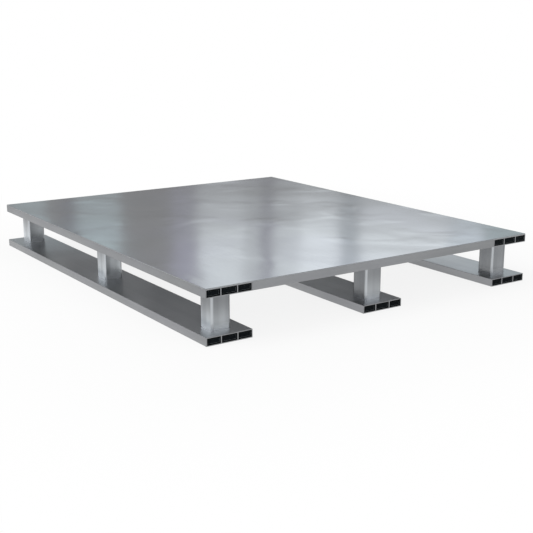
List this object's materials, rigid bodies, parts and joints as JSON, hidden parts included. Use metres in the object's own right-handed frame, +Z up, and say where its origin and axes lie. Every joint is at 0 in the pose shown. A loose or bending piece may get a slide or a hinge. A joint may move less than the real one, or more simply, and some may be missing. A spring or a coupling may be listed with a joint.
{
  "type": "aluminium pallet",
  "caption": "Aluminium pallet: a closed flat deck on a frame of hollow planks, standing on square posts and floor runners, with fork entry from every side.",
  "frame": {"origin": "middle of the pallet's footprint on the floor, on the underside of the middle runner", "axes": "+X to the right along the front edge, +Y from front to back along the runners, +Z up"},
  "size_m": [1, 1.2, 0.13],
  "materials": {
    "deck_sheet_aluminium": "satin mill finish with soft handling smears, fairly glossy at a low angle",
    "plank_aluminium": "extruded mill finish with fine lines along the plank",
    "post_aluminium": "extruded mill finish with fine upright lines, brighter on the round corners",
    "end_plug_plastic": "moulded black plastic, with a chamfered rim and a shallow, finely grained sunk panel"
  },
  "bodies": {
    "root": {"cross_plank_back": "plank_aluminium", "cross_plank_front": "plank_aluminium", "cross_plank_mid_back": "plank_aluminium", "cross_plank_mid_front": "plank_aluminium", "cross_plank_middle": "plank_aluminium", "deck_sheet": "deck_sheet_aluminium", "plug_runner_left_back_1": "end_plug_plastic", "plug_runner_left_back_2": "end_plug_plastic", "plug_runner_left_back_3": "end_plug_plastic", "plug_runner_left_front_1": "end_plug_plastic", "plug_runner_left_front_2": "end_plug_plastic", "plug_runner_left_front_3": "end_plug_plastic", "plug_runner_middle_back_1": "end_plug_plastic", "plug_runner_middle_back_2": "end_plug_plastic", "plug_runner_middle_back_3": "end_plug_plastic", "plug_runner_middle_front_1": "end_plug_plastic", "plug_runner_middle_front_2": "end_plug_plastic", "plug_runner_middle_front_3": "end_plug_plastic", "plug_runner_right_back_1": "end_plug_plastic", "plug_runner_right_back_2": "end_plug_plastic", "plug_runner_right_back_3": "end_plug_plastic", "plug_runner_right_front_1": "end_plug_plastic", "plug_runner_right_front_2": "end_plug_plastic", "plug_runner_right_front_3": "end_plug_plastic", "plug_side_plank_left_back_1": "end_plug_plastic", "plug_side_plank_left_back_2": "end_plug_plastic", "plug_side_plank_left_back_3": "end_plug_plastic", "plug_side_plank_left_front_1": "end_plug_plastic", "plug_side_plank_left_front_2": "end_plug_plastic", "plug_side_plank_left_front_3": "end_plug_plastic", "plug_side_plank_right_back_1": "end_plug_plastic", "plug_side_plank_right_back_2": "end_plug_plastic", "plug_side_plank_right_back_3": "end_plug_plastic", "plug_side_plank_right_front_1": "end_plug_plastic", "plug_side_plank_right_front_2": "end_plug_plastic", "plug_side_plank_right_front_3": "end_plug_plastic", "post_back_left": "post_aluminium", "post_back_middle": "post_aluminium", "post_back_right": "post_aluminium", "post_front_left": "post_aluminium", "post_front_middle": "post_aluminium", "post_front_right": "post_aluminium", "post_middle_left": "post_aluminium", "post_middle_middle": "post_aluminium", "post_middle_right": "post_aluminium", "runner_left": "plank_aluminium", "runner_middle": "plank_aluminium", "runner_right": "plank_aluminium", "side_plank_left": "plank_aluminium", "side_plank_right": "plank_aluminium"}
  },
  "joints": []
}
